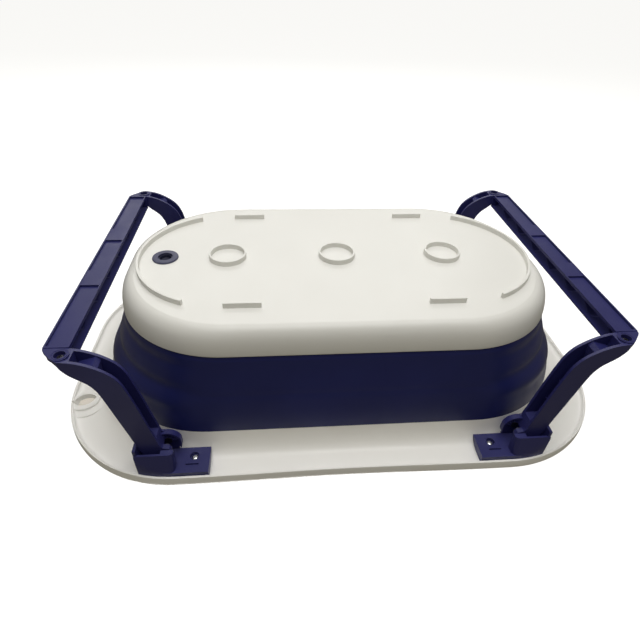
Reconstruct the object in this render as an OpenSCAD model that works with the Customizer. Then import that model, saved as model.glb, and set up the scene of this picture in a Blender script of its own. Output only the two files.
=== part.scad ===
// Folding baby bathtub: a rigid rim, a soft collapsible wall and a rigid base,
// carried by two fold-in leg frames. Millimetres, +Z up, standing on z = 0.
// Most shapes are drawn with a depth measured down from the top plane of the rim.

/* [Tub] */
// Length of the rim
rim_len = 812; // [808:1:830]
// Width of the rim
rim_wid = 490; // [488:1:500]
// Plan radius of the rim's corners
rim_corner = 178; // [174:1:184]
// Height from the floor to the top of the rim
tub_h = 208; // [208:1:212]
// Depth of the lip that hangs down around the rim
lip_depth = 16; // [15:1:18]
// Depth at which the soft wall meets the rim
seam_top = 46; // [44:1:48]
// Depth at which the soft wall meets the base
seam_bottom = 164; // [160:1:168]
// Thickness of the rigid shells
shell_t = 3; // [2.5:0.1:3.5]
// Thickness of the soft wall
wall_t = 2.6; // [2:0.1:3]

/* [Feet and drain] */
// Height of the feet under the base
foot_h = 7.5; // [6:0.5:8]
// Distance from the middle foot ring to the outer ones
foot_pitch = 160.5; // [150:0.5:165]
// Outer radius of a foot ring
foot_ring_r = 27; // [22:1:32]
// Radius of the arc-shaped end feet
foot_arc_r = 126; // [122:1:127]
// Distance of the drain from the middle of the tub
drain_x = 250; // [245:1:255]
// Radius of the drain seat's flange
drain_r = 18.5; // [17:0.5:20]

/* [Legs] */
// Distance of the leg hinges from the middle of the tub
hinge_x = 237; // [236:1:238]
// Depth of the leg hinges below the top of the rim
hinge_d = 45; // [44.5:0.5:46]
// Radius of the knuckle on the leg's foot
knuckle_r = 17; // [15:0.5:17]
// Radius of a hinge pin
pin_r = 4; // [3:0.5:4.5]
// Play around a hinge pin
pin_play = 0.05; // [0.02:0.01:0.1]
// Wall thickness of the leg mouldings
leg_t = 3.6; // [3:0.2:4]

/* [Hidden] */
$fn = 64;
eps = 0.01;

rim_a = rim_len / 2;
rim_b = rim_wid / 2;
lip_t = 4.5;
flange_d = 9;
flange_t = 4;
corner_steps = 12;

base_d = tub_h - foot_h;
foot_t = 4;
foot_ring_t = 3;
strip_len = 48.4;
strip_x = 133.5;
strip_y = 123.5;
arc_half_angle = 67;

drain_hole_r = 14;
drain_bore_r = 10;
seat_t = 2.5;
seat_top_d = base_d - shell_t - seat_t;
plug_r = drain_bore_r - 0.1;
plug_len = shell_t + 4.5;
plug_cap_r = 16;

// the leaf-shaped hanging slot in the rim's left end, and the raised collar around it
leaf_x = -383.5;
leaf_y = 98.5;
leaf_turn = -20;
leaf_len = 32;
leaf_wid = 22;
collar_len = 48;
collar_wid = 38;
collar_d = 14;

// bracket under the rim; y values are distances from the tub's long axis
plate_x0 = 184.5;
plate_x1 = 275.5;
plate_y1 = 241;
plate_d = 21.5;
screw_x = 205;
screw_y = 214;
screw_r = 2;
screw_play = 0.2;
screw_head_r = 4.3;
screw_head_h = 2.6;
screw_recess_r = 6;
screw_seat_d = plate_d - 5;
screw_tip_d = flange_d - 3;
block_x = 227;
block_y = 224;
block_y1 = 239.5;
block_d = 50;
block_lean = 7.2;
block_slot = [243, 229.6, 36];
cheek_x = 271.8;
cheek_y0 = 216;
cheek_y1 = 231.5;
cheek_d = 59;
stop_y0 = 209;
stop_y1 = 216;
stop_d = 47.2;
lug_y = 196.8;
lug_r = 10;
pin_end_y = 231.4;
pin_head_r = pin_r + 2;
gap = 0.3;

// leg
arm_y0 = 199.8;
arm_y1 = 223.5;
arm_mid = (arm_y0 + arm_y1) / 2;
eye_y = 207.5;
hub_y = 204.4;
outer_eye_y = 216.5;
outer_eye_r = 8.5;
tip_x = 323.3;
tip_boss_r = 8;
tip_boss_d = 191;
tip_seat_r = 6.2;
tip_seat_d = 203;
bar_x0 = 317.5;
bar_x1 = 345.5;
bar_w = bar_x1 - bar_x0;
bar_d0 = 186;
bar_t = 2.8;
tray_d = 3;
floor_d = tub_h - tray_d;
pad_y = 60;
pad_half = 18;
tongue_x = 5;
tongue_y = 217;
tongue_d0 = 193.5;
tongue_d1 = 199.5;
tongue_play = 0.2;

white = "#F0EEE6";
navy = "#2E2D5E";
soft_navy = "#23254A";
bright = "#D9DCE0";

// turns depths below the rim's top plane into heights above the floor
module down() { translate([0, 0, tub_h]) mirror([0, 0, 1]) children(); }

// moves a part drawn at the right front corner to the corner with signs sx, sy
module corner(sx, sy) {
  mirror([sx < 0 ? 1 : 0, 0, 0]) mirror([0, sy < 0 ? 1 : 0, 0]) children();
}

// a rounded rectangle with half sizes a and b and corner radius r, as a flat outline
module round_rect(a, b, r) {
  square([2 * a, 2 * (b - r)], center = true);
  square([2 * (a - r), 2 * b], center = true);
  for (x = [r - a, a - r], y = [r - b, b - r]) translate([x, y]) circle(r);
}

// the same outline as points; a level is [half length, half width, corner radius, depth]
function level_points(l) = [
  for (q = [0:3]) for (i = [0:corner_steps])
    let (t = 90 * q + 90 * i / corner_steps, sx = (q == 0 || q == 3) ? 1 : -1, sy = q < 2 ? 1 : -1)
      [sx * (l[0] - l[2]) + l[2] * cos(t), sy * (l[1] - l[2]) + l[2] * sin(t), l[3]]
];
ring_n = 4 * (corner_steps + 1);
function all_points(levels) = [for (l = levels) each level_points(l)];
function band(i, j) = [
  for (k = [0:ring_n - 1]) let (m = (k + 1) % ring_n)
    each [[i * ring_n + k, i * ring_n + m, j * ring_n + m], [i * ring_n + k, j * ring_n + m, j * ring_n + k]]
];

// a closed band that runs around the tub: the levels go once around its section
module ring_loft(levels) {
  n = len(levels);
  polyhedron(points = all_points(levels), faces = [for (i = [0:n - 1]) each band(i, (i + 1) % n)]);
}

// a pan: the levels go from the middle of one side over the edge to the middle of the other
module pan_loft(levels) {
  n = len(levels);
  first = [for (k = [ring_n - 1:-1:0]) k];
  last = [for (k = [0:ring_n - 1]) (n - 1) * ring_n + k];
  polyhedron(points = all_points(levels),
             faces = concat([first], [for (i = [0:n - 2]) each band(i, i + 1)], [last]));
}

// a polygon in the plane of length and depth, extruded across the tub from y0 to y1
module slab(y0, y1) { translate([0, y1, 0]) rotate([90, 0, 0]) linear_extrude(y1 - y0) children(); }

// a round bar across the tub on the hinge line
module across(r, y0, y1) {
  translate([hinge_x, y1, hinge_d]) rotate([90, 0, 0]) cylinder(r = r, h = y1 - y0);
}

// ---- tub ----

module rim_shell() {
  wall_a = 345;
  wall_b = 194.5;
  levels = [
    [rim_a, rim_b, rim_corner, 4],
    [rim_a - 1, rim_b - 1, rim_corner - 1, 1],
    [rim_a - 3, rim_b - 3, rim_corner - 3, 0],
    [rim_a - 5.5, rim_b - 5.5, rim_corner - 5, 0.5],
    [rim_a - 9, rim_b - 9, rim_corner - 8, flange_d - flange_t],
    [374, 212.5, 166, flange_d - flange_t],
    [359, 201, 162.5, 11.5],
    [345.3, 193.8, 159, 27],
    [wall_a - shell_t, wall_b - shell_t, 158, seam_top],
    [wall_a, wall_b, 160, seam_top],
    [wall_a + 3.5, wall_b + 2.5, 161.5, 28],
    [353, 199.5, 163, 21],
    [359, 203, 164.5, 15.5],
    [367, 208.5, 166.5, 11],
    [378, 216, 170, flange_d],
    [rim_a - lip_t - 1, rim_b - lip_t - 1, rim_corner - 6, flange_d],
    [rim_a - lip_t, rim_b - lip_t, rim_corner - 5, 11],
    [rim_a - lip_t, rim_b - lip_t, rim_corner - 5, lip_depth],
    [rim_a - 0.8, rim_b - 0.8, rim_corner - 1, lip_depth]
  ];
  color(white) down() difference() {
    union() {
      ring_loft(levels);
      slot_collar();
    }
    // hanging slot
    translate([leaf_x, leaf_y, -eps]) rotate(leaf_turn) leaf(leaf_len, leaf_wid, lip_depth + 2);
    // screw holes for the brackets
    for (sx = [-1, 1], sy = [-1, 1]) translate([sx * screw_x, sy * screw_y, screw_tip_d - 0.4])
      cylinder(r = screw_r, h = 2 * flange_t);
  }
}

// raised pad around the slot, cut off where it meets the lip
module slot_collar() {
  intersection() {
    translate([leaf_x, leaf_y, flange_d - 1]) rotate(leaf_turn)
      leaf(collar_len, collar_wid, collar_d - flange_d + 1);
    linear_extrude(tub_h) round_rect(rim_a - lip_t + eps, rim_b - lip_t, rim_corner - 5);
  }
}

// a lens-shaped prism
module leaf(l, w, h) {
  r = (l * l / 4 + w * w / 4) / w;
  linear_extrude(h) intersection() {
    translate([0, r - w / 2]) circle(r);
    translate([0, w / 2 - r]) circle(r);
  }
}

module tub_wall() {
  outer = [
    [345, 194.5, 160, seam_top],
    [344.5, 194.2, 159, seam_top + 16],
    [339.5, 192, 157, seam_top + 42],
    [330, 188.5, 155, seam_top + 72],
    [316.5, 182, 152, seam_top + 98],
    [306.3, 177, 150, seam_bottom]
  ];
  inner = [for (i = [len(outer) - 1:-1:0])
    [outer[i][0] - wall_t, outer[i][1] - wall_t, outer[i][2] - wall_t, outer[i][3]]];
  color(soft_navy) down() ring_loft(concat(outer, inner));
}

module base_shell() {
  outer = [
    [288, 157, 141, base_d],
    [298, 167, 146, base_d - 6],
    [303.5, 173, 148.5, base_d - 14.5],
    [305.8, 176, 150, base_d - 24.5],
    [306.3, 177, 150, seam_bottom]
  ];
  inner_rise = [shell_t, shell_t / 2, shell_t / 2, 0, 0];
  inner = [for (i = [len(outer) - 1:-1:0])
    [outer[i][0] - shell_t, outer[i][1] - shell_t, outer[i][2] - shell_t, outer[i][3] - inner_rise[i]]];
  color(white) down() difference() {
    union() {
      pan_loft(concat(outer, inner));
      feet();
    }
    translate([-drain_x, 0, base_d - shell_t - 1]) cylinder(r = drain_hole_r, h = shell_t + 2);
  }
}

module feet() {
  root = 1;
  h = foot_h + root;
  translate([0, 0, base_d - root]) {
    for (x = [-foot_pitch, 0, foot_pitch]) translate([x, 0, 0]) difference() {
      cylinder(r = foot_ring_r, h = h);
      translate([0, 0, root]) cylinder(r = foot_ring_r - foot_ring_t, h = h);
    }
    for (sx = [-1, 1], sy = [-1, 1]) translate([sx * strip_x - strip_len / 2, sy * strip_y - foot_t / 2, 0])
      cube([strip_len, foot_t, h]);
    for (side = [0, 180]) rotate(side) translate([foot_pitch, 0, 0]) rotate(-arc_half_angle)
      rotate_extrude(angle = 2 * arc_half_angle) translate([foot_arc_r - foot_t / 2, 0])
        square([foot_t, h]);
  }
}

// a flange on each side of the base's floor, joined by a neck
module drain_seat() {
  color(navy) down() translate([-drain_x, 0, seat_top_d]) difference() {
    union() {
      translate([0, 0, seat_t + shell_t]) cylinder(r = drain_r, h = seat_t);
      translate([0, 0, seat_t]) cylinder(r = drain_hole_r, h = shell_t);
      cylinder(r = drain_hole_r + 3, h = seat_t);
    }
    translate([0, 0, -1]) cylinder(r = drain_bore_r, h = 2 * seat_t + shell_t + 2);
  }
}

// a hollow stopper with a cap and a pull tab on the tub side
module drain_plug() {
  cap_t = 3;
  tab_h = 10;
  color(navy) down() translate([-drain_x, 0, seat_top_d]) difference() {
    union() {
      cylinder(r = plug_r, h = plug_len);
      translate([0, 0, -cap_t]) cylinder(r = plug_cap_r, h = cap_t);
      translate([-1.5, -6, -cap_t - tab_h]) cube([3, 12, tab_h]);
    }
    cylinder(r = plug_r - 3.4, h = plug_len + 1);
    translate([-5, 0, -cap_t - tab_h / 2]) rotate([0, 90, 0]) cylinder(r = 3, h = 10);
  }
}

// ---- hinge brackets, drawn at the right front corner ----

module bracket(sx, sy) {
  color(navy) down() corner(sx, sy) difference() {
    union() {
      bracket_plate();
      // block that hides the leg's foot
      block();
      // cheek outboard of the leg, rising above the block
      translate([cheek_x, cheek_y0, plate_d - eps])
        cube([plate_x1 - cheek_x, cheek_y1 - cheek_y0, cheek_d - plate_d]);
      inner_lug();
      // stop wedge under the leg
      slab(stop_y0, stop_y1)
        polygon([[252, plate_d - eps], [266, plate_d - eps], [266, stop_d], [260, stop_d]]);
    }
    translate([screw_x, screw_y, screw_seat_d]) cylinder(r = screw_recess_r, h = 10);
    translate([screw_x, screw_y, 0]) cylinder(r = screw_r + screw_play, h = 30);
    across(pin_r, lug_y - 1, arm_y0);
    across(pin_r, block_y - 1, pin_end_y);
    // slot beside the leg's heel
    translate([block_slot[0], block_y - 1, block_slot[2]])
      cube([cheek_x - block_slot[0], block_slot[1] - block_y + 1, block_d]);
  }
}

// its front face leans back towards the top
module block() {
  top_y = block_y1 - block_lean;
  difference() {
    translate([0, 0, plate_d - eps]) linear_extrude(block_d - plate_d + eps) block_outline();
    translate([block_x - 1, 0, 0]) rotate([90, 0, 90]) linear_extrude(plate_x1 - block_x + 2)
      polygon([[block_y1, plate_d], [top_y, block_d], [top_y, block_d + 1], [block_y1 + 9, block_d + 1],
               [block_y1 + 9, plate_d]]);
  }
}

// lug between the leg and the tub, and the ledge it grows from
module inner_lug() {
  ledge_t = 3;
  slab(lug_y, arm_y0 - gap) {
    translate([hinge_x, hinge_d]) circle(lug_r);
    translate([hinge_x - lug_r, plate_d - ledge_t]) square([2 * lug_r, hinge_d - plate_d + ledge_t]);
  }
  translate([hinge_x - lug_r, lug_y, plate_d - ledge_t]) cube([2 * lug_r, arm_y0 - lug_y + 4, ledge_t]);
}

// the plate clears the fillet under the rim and stays inside the lip
module bracket_plate() {
  intersection() {
    translate([plate_x0, 0, 0]) rotate([90, 0, 90]) linear_extrude(plate_x1 - plate_x0)
      polygon([[200.2, plate_d], [202.4, 18], [205.9, 14.2], [211, 11], [218.5, flange_d],
               [plate_y1, flange_d], [plate_y1, plate_d]]);
    translate([0, 0, flange_d]) linear_extrude(plate_d - flange_d) inside_lip();
  }
}

module inside_lip() {
  play = 1.3;
  round_rect(rim_a - lip_t - play, rim_b - lip_t - play, rim_corner - lip_t - play);
}

module block_outline() {
  corner_r = 6;
  intersection() {
    union() {
      translate([block_x + corner_r, block_y]) square([plate_x1 - block_x - corner_r, block_y1 - block_y]);
      translate([block_x, block_y]) square([2 * corner_r, block_y1 - block_y - corner_r]);
      translate([block_x + corner_r, block_y1 - corner_r]) circle(corner_r);
    }
    inside_lip();
  }
}

module bracket_screws() {
  color(bright) down() for (sx = [-1, 1], sy = [-1, 1])
    translate([sx * screw_x, sy * screw_y, 0]) {
      translate([0, 0, screw_tip_d]) cylinder(r = screw_r, h = screw_seat_d - screw_tip_d);
      translate([0, 0, screw_seat_d]) screw_head();
    }
}

// pan head with a cross recess, its seat at zero
module screw_head() {
  recess = [4, 1, 1.2];
  difference() {
    cylinder(r = screw_head_r, h = screw_head_h);
    for (a = [0, 90]) rotate(a)
      translate([-recess[0] / 2, -recess[1] / 2, screw_head_h - recess[2]]) cube(recess + [0, 0, 1]);
  }
}

// two headed stub pins: one through the inner lug, one in the outer cheek
module pins(sx, sy) {
  color(bright) down() corner(sx, sy) {
    across(pin_r, lug_y, hub_y + gap);
    across(pin_r + 1.2, hub_y + gap, hub_y + 1.6);
    across(pin_r, outer_eye_y - gap, pin_end_y);
    across(pin_head_r, outer_eye_y - 2, outer_eye_y - gap);
  }
}

// ---- legs, drawn at the right front corner ----

// side view of an arm: its inner edge runs up to the tip, its outer edge comes back
arm_inner = [[241, 48], [256, 128], [262, 160], [265, 171], [270, 181], [279, 190], [292, 199],
             [305, 204.5], [317, 207.4]];
arm_outer = [[bar_x1, 204.5], [334, 203], [328, 199.5], [323, 193.5], [317.5, 188], [311, 182], [305, 177],
             [299, 171], [293.5, 163], [291, 155], [286, 131], [268, 48]];
// the hollow between the two cheeks, open along the inner edge
arm_hollow = [[230, 70], [239, 100], [250, 134], [255, 165], [262, 184], [280, 200], [300, 212], [311, 212],
              [311, 187], [304, 182], [296, 173], [290, 164], [287.3, 156], [281.5, 131], [268.8, 70]];

module arm(sx, sy) {
  color(navy) down() corner(sx, sy) difference() {
    union() {
      arm_body();
      arm_ribs();
      // boss for the leg screw
      translate([tip_x, arm_mid, tip_boss_d]) cylinder(r = tip_boss_r, h = tub_h - tip_boss_d);
      // foot: cored knuckle on the tub side, plain eye on the outer side
      slab(arm_y0, arm_y0 + leg_t) polygon(inner_web);
      slab(outer_eye_y, arm_y1) polygon(outer_web);
      knuckle();
      across(outer_eye_r, outer_eye_y, arm_y1);
    }
    across(pin_r + pin_play, arm_y0 - 1, eye_y + 1);
    across(pin_r + pin_play, outer_eye_y - 1, arm_y1 + 1);
    // room for the inner pin's head
    across(pin_head_r + 1, hub_y, outer_eye_y);
    // seat for the crossbar's tongue, then the screw hole and the seat of its head
    translate([tip_x - tongue_x - tongue_play, arm_y0 - 1, tip_boss_d - 1])
      cube([2 * (tongue_x + tongue_play), tongue_y - arm_y0 + 1 + tongue_play,
            tongue_d1 - tip_boss_d + 1 + tongue_play]);
    translate([tip_x, arm_mid, tongue_d0]) cylinder(r = screw_r + screw_play, h = 30);
    translate([tip_x, arm_mid, tip_seat_d]) cylinder(r = tip_seat_r, h = 10);
  }
}

// the channel-shaped arm; in plan its tip is cut off at a slant
module arm_body() {
  difference() {
    intersection() {
      slab(arm_y0, arm_y1) polygon(concat(arm_inner, [[bar_x1, tub_h]], arm_outer));
      linear_extrude(tub_h) polygon([[200, arm_y0], [bar_x1, arm_y0], [344, 203.5], [332, 216.5],
                                     [325, 222.5], [320, arm_y1], [200, arm_y1]]);
    }
    slab(arm_y0 + leg_t, arm_y1 - leg_t) polygon(arm_hollow);
  }
}

// side views of the webs that join the arm's lower end to its knuckle and to its outer eye
arm_heel = [[270, 62], [268, 48], [264, 41]];
inner_web = concat([[hinge_x, hinge_d], [hinge_x - 10, hinge_d + 12], [244, 62]], arm_heel,
                   [[hinge_x + 12, hinge_d - 10]]);
outer_web = concat([[hinge_x, hinge_d], [hinge_x - 5, hinge_d + 6], [hinge_x + 3, hinge_d + 8], [245, 58]],
                   arm_heel, [[hinge_x + 6, hinge_d - 6]]);

// a cored drum, drawn out towards the plate, with a hub for the pin and a fan of ribs
module knuckle() {
  wall = 2.8;
  hub_r = pin_r + 2.2;
  drop = 5.5;
  floor_t = 2;
  rib = [1.4, 3.6, knuckle_r - hub_r - wall + 2];
  difference() {
    drum(knuckle_r, drop, arm_y0, eye_y);
    drum(knuckle_r - wall, drop, arm_y0 + floor_t, eye_y + 1);
  }
  across(hub_r, arm_y0, hub_y);
  for (a = [-60:40:60]) translate([hinge_x, arm_y0 + floor_t - eps, hinge_d]) rotate([0, a, 0])
    translate([-rib[0] / 2, 0, hub_r - 0.4]) cube(rib);
}

module drum(r, drop, y0, y1) {
  for (d = [0, drop]) translate([0, 0, -d]) across(r, y0, y1);
  translate([hinge_x - r, y0, hinge_d - drop]) cube([2 * r, y1 - y0, drop]);
}

module arm_ribs() {
  rib_t = 2;
  intersection() {
    slab(arm_y0 + leg_t - eps, arm_y1 - leg_t + eps) polygon(concat(arm_inner, arm_outer));
    union() {
      for (d = [100, 132]) translate([240, arm_y0, d]) cube([60, 30, rib_t]);
      translate([291, arm_y0, 160]) cube([rib_t, 30, 36]);
    }
  }
}

module crossbar(sx) {
  color(navy) down() corner(sx, 1) difference() {
    union() {
      slab(-arm_y0, arm_y0) bar_section();
      bar_zigzag();
      for (sy = [-1, 1]) corner(1, sy) {
        // raised pad in the tray
        translate([bar_x0 + 1, pad_y - pad_half, floor_d - 1]) cube([bar_w - 2, 2 * pad_half, tray_d + 1]);
        // end plate and tongue under the arm's tip
        translate([bar_x0, arm_y0 - leg_t, bar_d0]) cube([bar_w, leg_t, tub_h - bar_d0]);
        translate([tip_x - tongue_x, arm_y0 - 1, tongue_d0])
          cube([2 * tongue_x, tongue_y - arm_y0 + 1, tongue_d1 - tongue_d0]);
      }
    }
    for (sy = [-1, 1]) translate([tip_x, sy * arm_mid, tongue_d0 - 1]) cylinder(r = screw_r, h = 20);
  }
}

// open towards the tub, with a tray in the face that stands on the floor
module bar_section() {
  tray_wall = 2;
  difference() {
    translate([bar_x0, bar_d0]) square([bar_w, tub_h - bar_d0]);
    translate([bar_x0 - 1, bar_d0 + bar_t]) square([bar_w - bar_t + 1, floor_d - bar_d0 - 2 * bar_t]);
    translate([bar_x0 + tray_wall, floor_d]) square([bar_w - 2 * tray_wall, tray_d + 1]);
  }
}

// zigzag stiffeners in the crossbar's hollow
module bar_zigzag() {
  pitch = 28;
  depth = bar_w - 4;
  t = 1.8;
  len = 60;
  intersection() {
    translate([bar_x0 + 2, -arm_y0, bar_d0 + 1]) cube([depth, 2 * arm_y0, floor_d - bar_d0 - 2]);
    for (i = [-6:6]) translate([bar_x0 + 2, pitch * i, (bar_d0 + floor_d) / 2])
      rotate([i % 2 == 0 ? 60 : -60, 0, 0]) translate([0, -t / 2, -len / 2]) cube([depth, t, len]);
  }
}

module leg_screws(sx) {
  tip_d = tongue_d0 + 0.5;
  color(bright) down() corner(sx, 1) for (sy = [-1, 1]) translate([tip_x, sy * arm_mid, 0]) {
    translate([0, 0, tip_d]) cylinder(r = screw_r, h = tip_seat_d - tip_d);
    translate([0, 0, tip_seat_d]) screw_head();
  }
}

rim_shell();
tub_wall();
base_shell();
drain_seat();
drain_plug();
bracket(-1, 1);  // bracket_left_front
bracket(-1, -1);  // bracket_left_back
bracket(1, 1);  // bracket_right_front
bracket(1, -1);  // bracket_right_back
bracket_screws();
pins(-1, 1);  // pins_left_front
pins(-1, -1);  // pins_left_back
pins(1, 1);  // pins_right_front
pins(1, -1);  // pins_right_back
arm(-1, 1);  // arm_left_front
arm(-1, -1);  // arm_left_back
arm(1, 1);  // arm_right_front
arm(1, -1);  // arm_right_back
crossbar(-1);  // crossbar_left
crossbar(1);  // crossbar_right
leg_screws(-1);  // leg_screws_left
leg_screws(1);  // leg_screws_right
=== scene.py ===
"""Folding baby bathtub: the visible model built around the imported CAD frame.

The tub is modelled upright. The camera sits under it and is turned over, so the picture shows the
tub lying on its rim with the base up. Depths below are measured down from the rim's top plane.
"""
import math

import bmesh
import bpy
from mathutils import Matrix, Vector


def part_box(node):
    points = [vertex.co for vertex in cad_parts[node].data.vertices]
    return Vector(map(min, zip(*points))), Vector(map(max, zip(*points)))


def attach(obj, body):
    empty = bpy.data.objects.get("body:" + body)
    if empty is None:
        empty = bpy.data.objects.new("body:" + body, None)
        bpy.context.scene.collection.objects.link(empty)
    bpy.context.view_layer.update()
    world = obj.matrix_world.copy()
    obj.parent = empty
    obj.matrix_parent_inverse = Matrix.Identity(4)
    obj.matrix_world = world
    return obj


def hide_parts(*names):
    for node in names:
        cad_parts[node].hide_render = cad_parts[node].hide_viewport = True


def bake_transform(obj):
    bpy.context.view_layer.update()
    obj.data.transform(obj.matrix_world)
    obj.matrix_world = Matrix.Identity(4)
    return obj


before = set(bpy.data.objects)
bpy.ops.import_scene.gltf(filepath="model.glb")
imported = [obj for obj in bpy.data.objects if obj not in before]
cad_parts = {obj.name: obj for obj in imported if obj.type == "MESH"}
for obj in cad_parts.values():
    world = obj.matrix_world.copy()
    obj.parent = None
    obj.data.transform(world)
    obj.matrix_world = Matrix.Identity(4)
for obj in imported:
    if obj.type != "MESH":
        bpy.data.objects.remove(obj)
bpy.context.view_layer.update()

MM = 0.001
RIM_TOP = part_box("rim_shell")[1].z
RIM_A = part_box("rim_shell")[1].x
RIM_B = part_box("rim_shell")[1].y
LIP_DEPTH = 16 * MM
FLANGE_DEPTH = 9 * MM
SEAM_TOP = RIM_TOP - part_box("tub_wall")[1].z
SEAM_BOTTOM = RIM_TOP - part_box("tub_wall")[0].z
FLOOR_DEPTH = RIM_TOP
BASE_DEPTH = FLOOR_DEPTH - 7.5 * MM
SHELL_T = 3 * MM
WALL_T = 2.6 * MM
HINGE_X = 237 * MM
HINGE_DEPTH = 45 * MM
PIN_R = 4 * MM
DRAIN_X = -250 * MM
SIDES = (("left", -1), ("right", 1))
ENDS = (("front", 1), ("back", -1))
# mesh steps around each corner and along each half side of the tub's mouldings
LOFT_ARC, LOFT_STRAIGHT = 30, 16


# ---------------------------------------------------------------- camera, floor and lights

def add_camera():
    """The camera of a person who looks down at the upturned tub, in the upright frame."""
    yaw, pitch, roll = 0.10517, 0.67098, 0.04021
    focal_in_pixels, image_width, sensor = 465.7, 640, 36
    place = Vector((-0.0845, -0.6004, 0.5571))
    ahead = Vector((math.sin(yaw) * math.cos(pitch), math.cos(yaw) * math.cos(pitch), -math.sin(pitch)))
    level = ahead.cross(Vector((0, 0, 1))).normalized()
    above = level.cross(ahead)
    right = math.cos(roll) * level + math.sin(roll) * above
    up = -math.sin(roll) * level + math.cos(roll) * above
    # half a turn about the length takes the upturned frame to the upright one
    over = Matrix.Rotation(math.pi, 3, "X")
    axes = Matrix((over @ right, over @ up, over @ -ahead)).transposed()
    data = bpy.data.cameras.new("camera")
    data.sensor_width = sensor
    data.lens = focal_in_pixels / image_width * sensor
    camera = bpy.data.objects.new("camera", data)
    camera.matrix_world = Matrix.Translation(over @ place + Vector((0, 0, RIM_TOP))) @ axes.to_4x4()
    bpy.context.scene.collection.objects.link(camera)
    bpy.context.scene.camera = camera


def floor_material(name, glow, colour):
    """Floor that shows only from its front side."""
    mat = bpy.data.materials.new(name)
    mat.use_nodes = True
    nodes, links = mat.node_tree.nodes, mat.node_tree.links
    nodes.clear()
    out = nodes.new("ShaderNodeOutputMaterial")
    side = nodes.new("ShaderNodeNewGeometry")
    by_side = nodes.new("ShaderNodeMixShader")
    pale = nodes.new("ShaderNodeAddShader")
    diffuse = nodes.new("ShaderNodeBsdfDiffuse")
    diffuse.inputs["Color"].default_value = colour
    emission = nodes.new("ShaderNodeEmission")
    emission.inputs["Color"].default_value = (1, 1, 0.995, 1)
    emission.inputs["Strength"].default_value = glow
    clear = nodes.new("ShaderNodeBsdfTransparent")
    links.new(diffuse.outputs[0], pale.inputs[0])
    links.new(emission.outputs[0], pale.inputs[1])
    links.new(side.outputs["Backfacing"], by_side.inputs["Fac"])
    links.new(pale.outputs[0], by_side.inputs[1])
    links.new(clear.outputs[0], by_side.inputs[2])
    links.new(by_side.outputs[0], out.inputs["Surface"])
    return mat


def add_floor(name, outline, z, facing, glow, colour):
    """A flat stage piece; facing is +1 for a floor seen from above, -1 for one seen from below."""
    mesh = bpy.data.meshes.new(name)
    mesh.from_pydata([(x, y, z) for x, y in outline], [], [range(len(outline))[::facing]])
    floor = bpy.data.objects.new(name, mesh)
    mesh.materials.append(floor_material(name, glow, colour))
    for flag in ("visible_diffuse", "visible_glossy", "visible_transmission", "visible_shadow"):
        setattr(floor, flag, False)
    bpy.context.scene.collection.objects.link(floor)


def add_softbox(name, place, target, size, watts, shadows=True):
    """Area light aimed at a point; the camera doesn't see it."""
    data = bpy.data.lights.new(name, "AREA")
    data.shape = "RECTANGLE"
    data.size, data.size_y = size
    data.energy = watts
    data.use_shadow = shadows
    light = bpy.data.objects.new(name, data)
    light.location = place
    light.rotation_mode = "QUATERNION"
    light.rotation_quaternion = (Vector(target) - Vector(place)).to_track_quat("-Z", "Y")
    light.visible_camera = False
    bpy.context.scene.collection.objects.link(light)


def add_world():
    """Dim warm surroundings for the object; the camera itself sees a pale tone behind the floor."""
    world = bpy.data.worlds.new("studio")
    bpy.context.scene.world = world
    world.use_nodes = True
    nodes, links = world.node_tree.nodes, world.node_tree.links
    around = nodes["Background"]
    around.inputs["Color"].default_value = (1, 0.93, 0.74, 1)
    around.inputs["Strength"].default_value = 0.2
    behind = nodes.new("ShaderNodeBackground")
    behind.inputs["Color"].default_value = (0.93, 0.93, 0.92, 1)
    path = nodes.new("ShaderNodeLightPath")
    mix = nodes.new("ShaderNodeMixShader")
    links.new(path.outputs["Is Camera Ray"], mix.inputs["Fac"])
    links.new(around.outputs[0], mix.inputs[1])
    links.new(behind.outputs[0], mix.inputs[2])
    links.new(mix.outputs[0], nodes["World Output"].inputs["Surface"])


def add_stage():
    """World, floors for both ways up, a sheet of painted shade inside the rim, and three soft lights."""
    add_world()
    bpy.context.scene.view_settings.view_transform = "Standard"
    pale = (0.42, 0.42, 0.41, 1)
    far = 12
    wide = [(-far, -far), (far, -far), (far, far), (-far, far)]
    add_floor("floor_upright", wide, -0.0004, 1, 0.86, pale)
    add_floor("floor_upturned", wide, RIM_TOP + 0.0004, -1, 0.86, pale)
    # painted shade: a dim brownish sheet inside the upturned rim stands for the tub's shade on the ground, and
    # shows through the hanging slot
    shaded = round_rect(RIM_A - 5 * MM, RIM_B - 5 * MM, 173 * MM, 24, 2)
    add_floor("painted_shade_ground", shaded, RIM_TOP + 0.0002, -1, 0.34, (0.3, 0.25, 0.17, 1))
    middle = (0, 0, RIM_TOP / 2)
    add_softbox("softbox_below", (0.05, 0.28, -1.65), middle, (1.7, 1.4), 21)
    add_softbox("reflected_below", (0, -1.5, -1.3), middle, (2.2, 1.3), 21, shadows=False)
    add_softbox("softbox_above", (-0.2, -0.1, 1.9), middle, (1.7, 1.4), 28)


# ---------------------------------------------------------------- materials

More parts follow.
